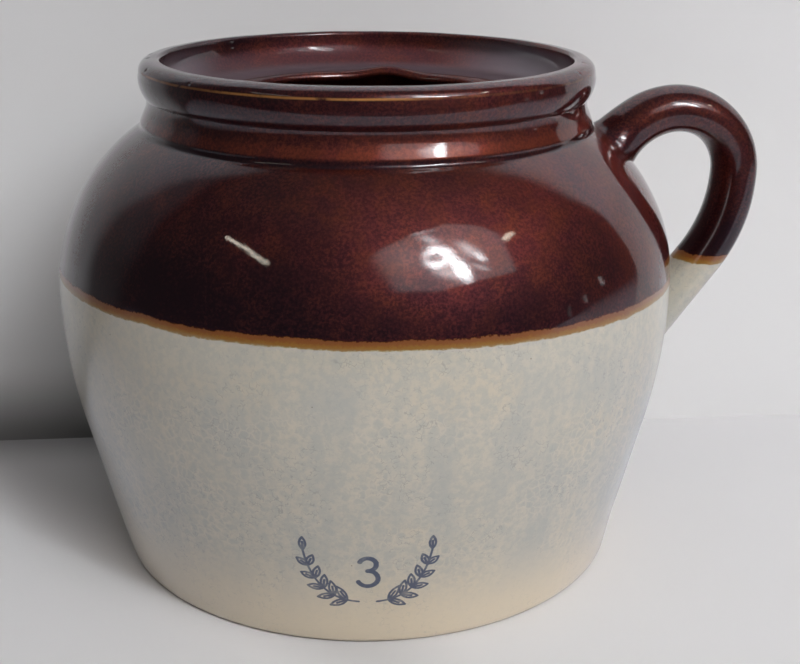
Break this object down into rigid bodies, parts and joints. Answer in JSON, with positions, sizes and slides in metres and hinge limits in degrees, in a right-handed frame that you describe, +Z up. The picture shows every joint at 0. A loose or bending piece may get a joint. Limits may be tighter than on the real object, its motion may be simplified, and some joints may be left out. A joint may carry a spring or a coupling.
{
  "type": "stoneware bean pot",
  "caption": "Round-bellied stoneware pot with a turned collar, an inner ledge that carries a lid, and one strap handle luted onto its shoulder and flank.",
  "frame": {"origin": "on the pot's own axis, in the plane of the foot ring that it stands on", "axes": "+Z up along the pot's axis, out of its mouth; +X out through the handle"},
  "size_m": [0.2243, 0.194, 0.1574],
  "materials": {
    "body_glaze": "gloss glaze over stoneware: deep red-brown slip glaze on neck, shoulder and inside, a thin amber band where the two dips meet, and mottled cream Bristol glaze on the flank down to the foot",
    "handle_glaze": "gloss red-brown slip glaze, breaking to amber near the lower root, cream below the dip line"
  },
  "bodies": {
    "root": {"body": "body_glaze", "handle": "handle_glaze"}
  },
  "joints": []
}
